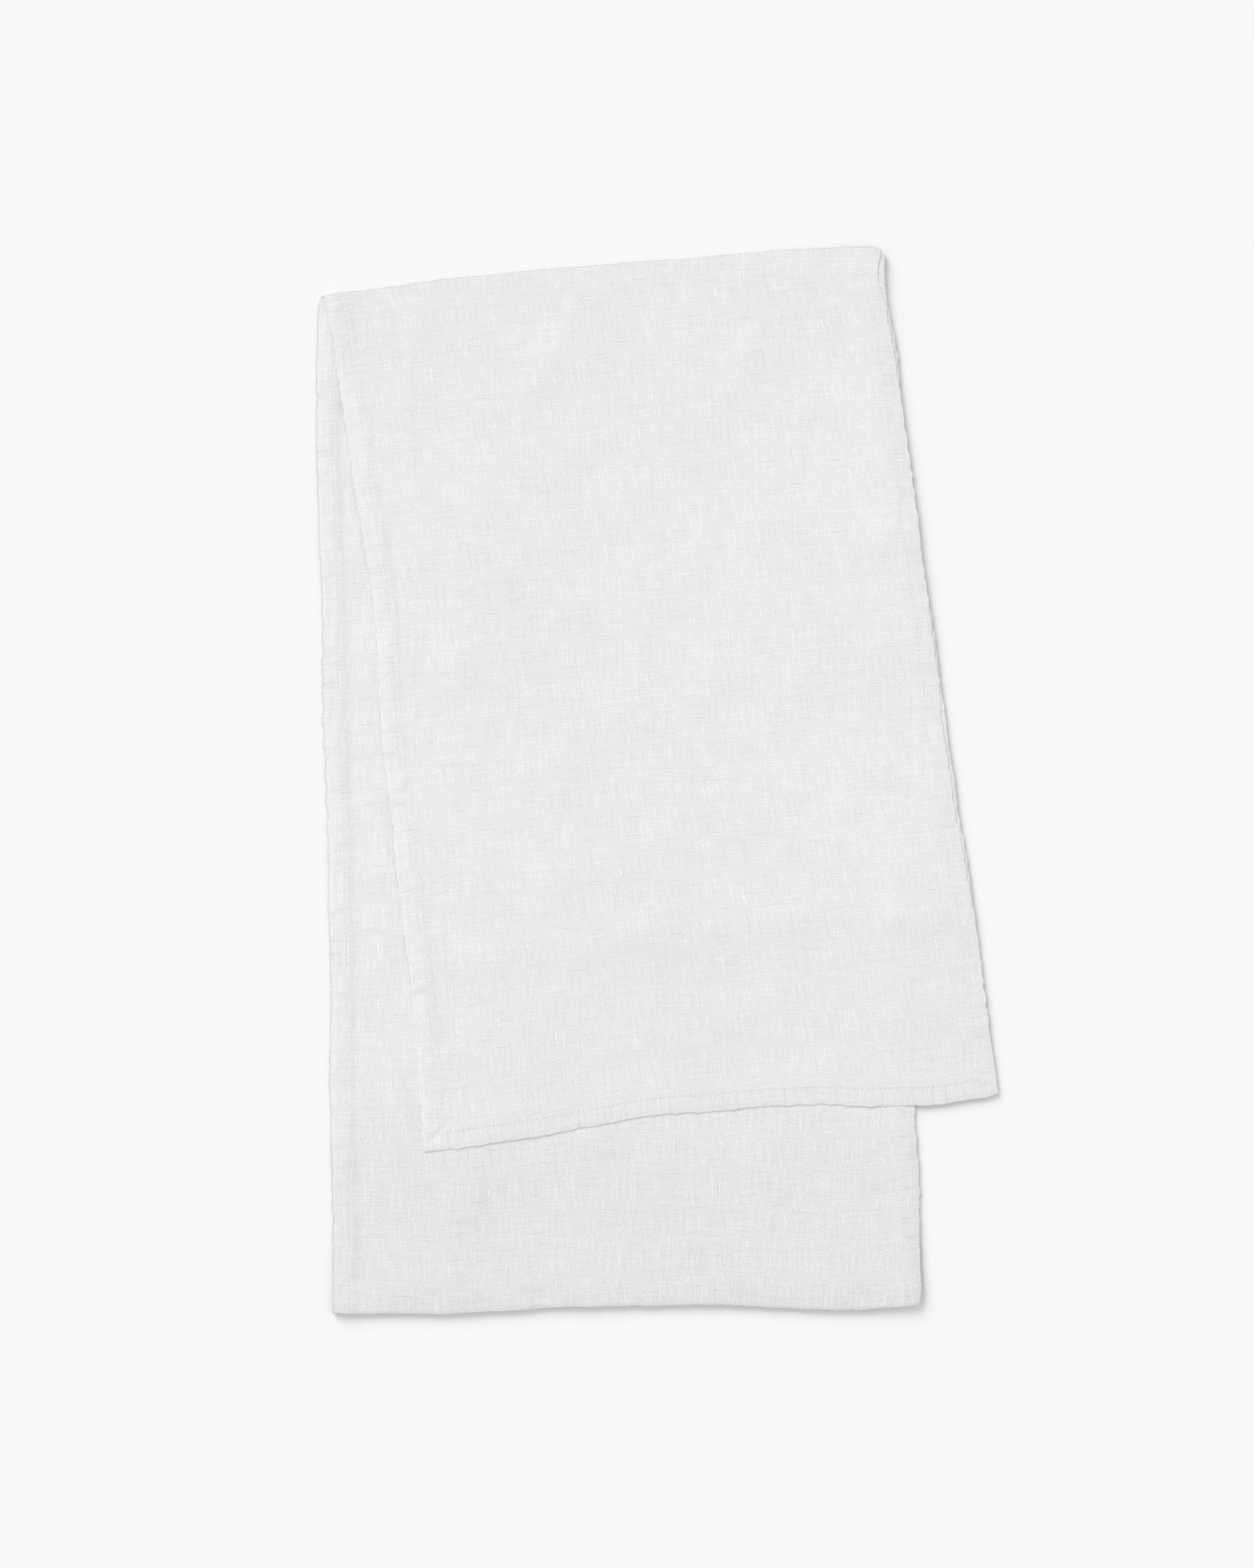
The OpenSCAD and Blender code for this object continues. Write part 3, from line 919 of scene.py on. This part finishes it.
def linen_material():
    material, tree, bsdf = shader("washed_linen")
    cloth = node(tree, "Attribute", attribute_name="cloth").outputs["Vector"]
    # painted light and shade carried on the mesh: darker above 0, lighter below 0
    painted_shading = node(tree, "Attribute", attribute_name="painted_shading").outputs["Fac"]
    axes = node(tree, "SeparateXYZ")
    tree.links.new(cloth, axes.inputs[0])
    u, run = axes.outputs[0], axes.outputs[1]

    def spread(value, amount):
        return math_node(tree, "MULTIPLY", math_node(tree, "SUBTRACT", value, 0.5), amount)

    def tail(value, edge, amount):
        above = math_node(tree, "MAXIMUM", math_node(tree, "SUBTRACT", value, edge), 0.0)
        return math_node(tree, "MULTIPLY", above, amount)

    def band(value, centre, reach):
        """1 where the value is at the centre, falling to 0 at the reach from it."""
        away = math_node(tree, "ABSOLUTE", math_node(tree, "SUBTRACT", value, centre))
        return ranged(tree, away, 0, reach, 1, 0)

    def gaps(place):
        """1 between two stitches, and 0 along most of each stitch."""
        wave = math_node(tree, "COSINE", math_node(tree, "MULTIPLY", place, 2 * math.pi / STITCH_PITCH))
        return ranged(tree, wave, -0.9, 0.1, 1, 0)

    # threads, with slubs: long thin lumps along the warp (y) and along the weft (x)
    warp = stretched_noise(tree, cloth, 0.62, 24, 1.0, 3.1)
    weft = stretched_noise(tree, cloth, 22, 0.64, 1.0, 7.7)
    warp_slub = stretched_noise(tree, cloth, 0.95, 13, 0.5, 13.3)
    weft_slub = stretched_noise(tree, cloth, 18, 0.9, 0.5, 19.9)
    grain = stretched_noise(tree, cloth, 0.75, 0.85, 1.0, 23.1)
    blotch = stretched_noise(tree, cloth, 12, 15, 2.0, 29.4)
    cloud = stretched_noise(tree, cloth, 60, 75, 1.0, 31.6)
    # the plain weave itself: threads 0.65 mm apart, each wandering a little
    over = math_node(tree, "SINE", total(tree, [
        math_node(tree, "MULTIPLY", u, 2 * math.pi / WEAVE), spread(warp, 9.0)]))
    under_ = math_node(tree, "SINE", total(tree, [
        math_node(tree, "MULTIPLY", run, 2 * math.pi / WEAVE), spread(weft, 9.0)]))
    weave = math_node(tree, "MULTIPLY", over, under_)

    threads = total(tree, [
        spread(warp, 0.17), spread(weft, 0.097), spread(grain, 0.38),
        math_node(tree, "MULTIPLY", weave, 0.02),
        tail(warp_slub, 0.64, 0.58), tail(weft_slub, 0.63, -0.34)])
    from_middle = math_node(tree, "ABSOLUTE", math_node(tree, "SUBTRACT", run, MIDDLE_RUN))
    threads = math_node(tree, "MULTIPLY", threads, ranged(tree, from_middle, 250, 420, 1.12, 1.0))
    from_edge = math_node(tree, "SUBTRACT", CLOTH_W / 2,
                          math_node(tree, "ABSOLUTE", math_node(tree, "SUBTRACT", u, CLOTH_W / 2)))
    # the groove that each seam pulls, its needle holes between the stitches, and the small
    # puckers from the seam to the edge; they shape the bump, and their darkening of the colour is painted
    # shade
    side_seam = math_node(tree, "MULTIPLY", band(from_edge, SEAM, 0.9), math_node(
        tree, "MULTIPLY", ranged(tree, u, 40, 60, 0.45, 0.2), ranged(tree, run, SEAM - 2, SEAM, 0, 1)))
    end_seam = math_node(tree, "MULTIPLY", band(run, SEAM, 0.9),
                         ranged(tree, from_edge, SEAM - 2, SEAM, 0, 1))
    groove = math_node(tree, "MAXIMUM", side_seam, end_seam)
    holes = math_node(tree, "MAXIMUM", math_node(tree, "MULTIPLY", side_seam, gaps(run)),
                      math_node(tree, "MULTIPLY", end_seam, gaps(u)))
    side_pucker = tail(stretched_noise(tree, cloth, 34, 3.2, 0.5, 41.2), 0.58, 1.0)
    end_pucker = tail(stretched_noise(tree, cloth, 3.2, 34, 0.5, 47.5), 0.58, 1.0)
    puckers = math_node(
        tree, "ADD",
        math_node(tree, "MULTIPLY", side_pucker, ranged(tree, from_edge, SEAM - 1, SEAM + 1, 0.6, 0)),
        math_node(tree, "MULTIPLY", end_pucker, ranged(tree, run, SEAM - 1, SEAM + 1, 1.0, 0)))
    # the hems are paler than the single cloth, most of all on the left: partly the thicker cloth's own
    # tone, partly painted light on the side the key light falls on
    hem = math_node(tree, "MAXIMUM", ranged(tree, from_edge, HEM_W - 1, HEM_W + 1.5, 0.009, 0),
                    ranged(tree, run, HEM_W - 1, HEM_W + 1.5, 0.006, 0))
    hem = math_node(tree, "MULTIPLY", hem, ranged(tree, u, 150, 250, 1.0, 0.2))
    # The broad tone steps stand for shading that the light alone doesn't give. They were set by
    # comparing grey levels with the photo, and they stay on the cloth under any light.
    level = total(tree, [
        threads, spread(blotch, 0.009), spread(cloud, 0.036), hem,
        ranged(tree, from_middle, 0, 240, -0.062, 0), ranged(tree, run, 0, 190, -0.022, 0),
        ranged(tree, from_middle, 0, 50, -0.012, 0),
        ranged(tree, u, 0, 90, 0.01, 0), ranged(tree, u, 330, 400, 0, -0.008),
        # painted light and shade from the mesh attribute, and painted shade in the seams' grooves, needle
        # holes and puckers
        math_node(tree, "MULTIPLY", painted_shading, -0.17), math_node(tree, "MULTIPLY", groove, -0.012),
        math_node(tree, "MULTIPLY", holes, -0.11), math_node(tree, "MULTIPLY", puckers, -0.35)])
    level = math_node(tree, "ADD", level, CLOTH_TONE)
    colour = node(tree, "CombineColor")
    tree.links.new(level, colour.inputs[0])
    tree.links.new(level, colour.inputs[1])
    tree.links.new(math_node(tree, "MULTIPLY", level, 0.999), colour.inputs[2])
    tree.links.new(colour.outputs[0], bsdf.inputs["Base Color"])
    # relief: threads over and under each other, slubs standing proud
    height = total(tree, [
        spread(warp, 1.0), spread(weft, 0.9), spread(grain, 1.3), math_node(tree, "MULTIPLY", weave, 0.2),
        tail(warp_slub, 0.6, 3.0), tail(weft_slub, 0.6, 3.0), math_node(tree, "MULTIPLY", groove, -0.5),
        math_node(tree, "MULTIPLY", holes, -1.2), math_node(tree, "MULTIPLY", puckers, -4.0)])
    bump = node(tree, "Bump")
    bump.inputs["Strength"].default_value = 0.4
    bump.inputs["Distance"].default_value = 0.00022
    tree.links.new(height, bump.inputs["Height"])
    tree.links.new(bump.outputs[0], bsdf.inputs["Normal"])
    rough = math_node(tree, "ADD", spread(grain, 0.12), 0.9)
    tree.links.new(rough, bsdf.inputs["Roughness"])
    bsdf.inputs["Specular IOR Level"].default_value = 0.1
    bsdf.inputs["Sheen Weight"].default_value = 0.05
    bsdf.inputs["Sheen Roughness"].default_value = 0.6
    return material


def thread_material():
    material, tree, bsdf = shader("sewing_thread")
    place = node(tree, "TexCoord").outputs["Object"]
    twist = node(tree, "TexNoise")
    twist.inputs["Scale"].default_value = 2600.0
    twist.inputs["Detail"].default_value = 1.0
    tree.links.new(place, twist.inputs["Vector"])
    ramp = node(tree, "ValToRGB")
    ramp.color_ramp.elements[0].color = (0.72, 0.72, 0.71, 1)
    ramp.color_ramp.elements[1].color = (0.86, 0.86, 0.85, 1)
    tree.links.new(twist.outputs["Fac"], ramp.inputs[0])
    tree.links.new(ramp.outputs[0], bsdf.inputs["Base Color"])
    bump = node(tree, "Bump")
    bump.inputs["Strength"].default_value = 0.3
    bump.inputs["Distance"].default_value = 0.0001
    tree.links.new(twist.outputs["Fac"], bump.inputs["Height"])
    tree.links.new(bump.outputs[0], bsdf.inputs["Normal"])
    bsdf.inputs["Roughness"].default_value = 0.7
    return material


WEAVE = 1.3  # two threads of the plain weave
CLOTH_TONE = 0.794
MIDDLE_RUN = outer_run.run[-1] + LAID_L
linen, thread = linen_material(), thread_material()
for obj in (outer_cloth, lower_cloth, inner_cloth):
    obj.data.materials.clear()
    obj.data.materials.append(linen)
for obj in stitch_objects.values():
    obj.data.materials.append(thread)

# ---------------------------------------------------------------- bodies

# The flaps turn over within a few mm inside the top fold. The fold's edge bows and leans a little
# against the hinge, and the two lines worked out here lean with it; nothing below uses them.
TURN_FROM, TURN_REACH, TURN_LEAN = 0.3, 6.2, 0.013
turn_start = TOP_C - TURN_FROM * FOLD_OUT
turn_end = turn_start + TURN_REACH * (TURN_LEAN * ALONG_FOLD - FOLD_OUT)
turn_start, turn_end = (tuple(np.array([*plan, 0.0]) * MM) for plan in (turn_start, turn_end))
for flap, cloth in (("outer_flap", outer_cloth), ("inner_flap", inner_cloth)):
    sides = [stitch_objects[f"{flap}_{side}_stitching"] for side in ("left", "right")]
    for obj in [cloth] + sides:
        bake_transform(obj)
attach(lower_cloth, "lower_layers")
for name, obj in stitch_objects.items():
    if name.startswith("lower_layers"):
        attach(obj, "lower_layers")
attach(stitch_objects["outer_flap_end_stitching"], "outer_flap")
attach(stitch_objects["inner_flap_end_stitching"], "inner_flap")

for flap, obj in (("outer", outer_cloth), ("inner", inner_cloth)):
    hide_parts(*(f"{flap}_flap_{part}" for part in ("panel", "left_hem", "right_hem", "end_hem")),
                f"{flap}_top_fold")
    for part in ("left", "right", "end"):
        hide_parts(f"{flap}_flap_{part}_stitching")
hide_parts("middle_fold", *(
    f"lower_{layer}_{part}" for layer in ("under", "top") for part in ("panel", "left_hem", "right_hem")))
for part in ("left", "right"):
    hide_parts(f"lower_under_{part}_stitching", f"lower_top_{part}_stitching")


# ---------------------------------------------------------------- stage, light and camera

floor_mesh = bpy.data.meshes.new("floor")
half = 6.0  # half of the floor's side, in m
floor_corners = [(-half, -half, 0), (half, -half, 0), (half, half, 0), (-half, half, 0)]
floor_mesh.from_pydata(floor_corners, [], [(0, 1, 2, 3)])
floor = bpy.data.objects.new("floor", floor_mesh)
bpy.context.collection.objects.link(floor)
floor.location.z = -0.00002
floor_material, _, floor_bsdf = shader("pale_floor")
floor_bsdf.inputs["Base Color"].default_value = (0.9, 0.9, 0.9, 1)
floor_bsdf.inputs["Roughness"].default_value = 1.0
floor_bsdf.inputs["Specular IOR Level"].default_value = 0.0
floor_mesh.materials.append(floor_material)

world = bpy.data.worlds.new("studio")
world.use_nodes = True
world.node_tree.nodes["Background"].inputs[0].default_value = (1.0, 1.0, 1.0, 1)
world.node_tree.nodes["Background"].inputs[1].default_value = 0.716
bpy.context.scene.world = world

KEY = 2.12
KEY_FROM = Vector((-0.98, 1.46, 1.0))
key_data = bpy.data.lights.new("key", "SUN")
key_data.energy = KEY
key_data.angle = math.radians(36)
key = bpy.data.objects.new("key", key_data)
key.location = KEY_FROM
key.rotation_euler = (-KEY_FROM).to_track_quat("-Z", "Y").to_euler()
bpy.context.collection.objects.link(key)

camera_data = bpy.data.cameras.new("camera")
camera_data.lens = 100.0
camera_data.sensor_width = 36.0
camera_data.sensor_height = 36.0
FIELD = 1.0631  # long side of the view on the cloth, in m
VIEW_C = (-0.02324, -0.00257)  # middle of the view on the cloth
CLOTH_Z = 0.003  # height of the cloth that the field is measured at
distance = FIELD * camera_data.lens / camera_data.sensor_width
camera = bpy.data.objects.new("camera", camera_data)
camera.location = (*VIEW_C, distance + CLOTH_Z)
bpy.context.collection.objects.link(camera)
bpy.context.scene.camera = camera
bpy.context.scene.view_settings.view_transform = "Standard"
